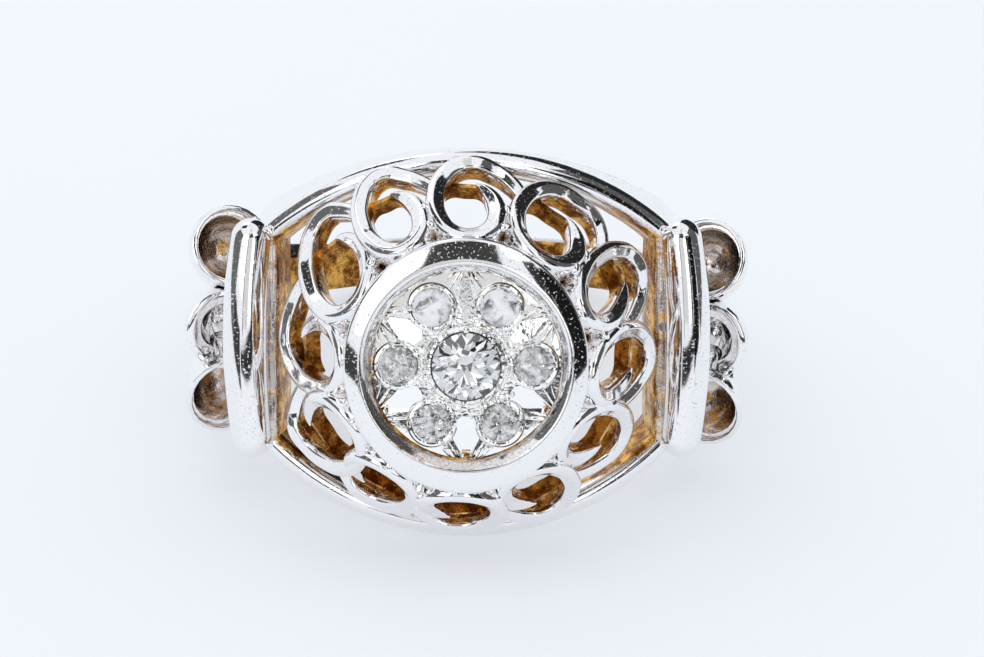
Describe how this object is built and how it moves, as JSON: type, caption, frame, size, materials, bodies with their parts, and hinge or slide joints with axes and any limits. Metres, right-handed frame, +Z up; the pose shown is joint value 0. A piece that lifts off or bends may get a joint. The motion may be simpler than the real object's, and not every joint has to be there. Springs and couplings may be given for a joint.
{
  "type": "diamond ring",
  "caption": "Domed openwork finger ring with a star-set round plate in an oval bezel, pinwheel scrolls, bowed rails, rolls and fluted shoulders.",
  "frame": {"origin": "on the surface under the middle of the ring's bounding box, with the ring lying on its side", "axes": "+Z up from the surface, -Y the side that the crown faces, +X across the crown to the viewer's right"},
  "size_m": [0.0222, 0.0239, 0.0146],
  "materials": {
    "white_gold": "polished",
    "plate_gold": "polished, bright cut",
    "diamond": "clear, faceted"
  },
  "bodies": {
    "root": {"ring_mount": "white_gold", "star_plate": "plate_gold", "centre_stone": "diamond", "side_stone_1": "diamond", "side_stone_2": "diamond", "side_stone_3": "diamond", "side_stone_4": "diamond", "side_stone_5": "diamond", "side_stone_6": "diamond"}
  },
  "joints": []
}
